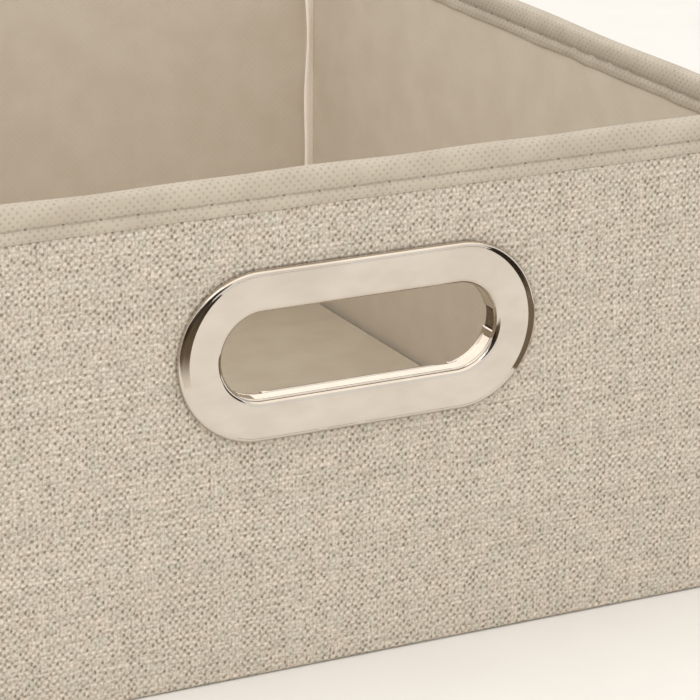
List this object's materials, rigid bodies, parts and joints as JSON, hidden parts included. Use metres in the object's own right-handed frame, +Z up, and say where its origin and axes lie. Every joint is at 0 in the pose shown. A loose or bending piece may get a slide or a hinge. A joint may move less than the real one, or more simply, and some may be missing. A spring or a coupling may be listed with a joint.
{
  "type": "fabric storage bin",
  "caption": "Open-topped box bin of woven fabric over board, with a bound rim, an oval metal hand slot in the front and a loose covered base board.",
  "frame": {"origin": "centre of the base, on the surface that the bin stands on, midway between the handle's front face and the rim's back", "axes": "+Z up, -Y out of the front wall that holds the handle, +X to the right of someone facing the front from outside"},
  "size_m": [0.2782, 0.307, 0.1476],
  "materials": {
    "woven_fabric": "plain woven, heathered beige, matte",
    "binding_tape": "nonwoven tape with embossed dots, matte",
    "lining": "nonwoven, plain, matte",
    "chipboard": "grey paperboard, uncoated",
    "handle_metal": "polished nickel plate"
  },
  "bodies": {
    "shell": {"outer_front_panel": "woven_fabric", "outer_back_panel": "woven_fabric", "outer_left_panel": "woven_fabric", "outer_right_panel": "woven_fabric", "outer_base_panel": "lining", "front_board": "chipboard", "back_board": "chipboard", "left_board": "chipboard", "right_board": "chipboard", "lining_front": "lining", "lining_back": "lining", "lining_left": "lining", "lining_right": "lining", "corner_seam_front_left": "woven_fabric", "corner_seam_front_right": "woven_fabric", "corner_seam_back_left": "woven_fabric", "corner_seam_back_right": "woven_fabric", "rim_binding": "binding_tape", "handle_front_plate": "handle_metal", "handle_back_plate": "handle_metal"},
    "base_insert": {"base_board": "chipboard", "base_cover": "lining"}
  },
  "joints": [
    {"name": "insert_lift", "type": "slide", "parent": "shell", "child": "base_insert", "axis": [0, 0, 1], "range_m": [0, 0.17]}
  ]
}
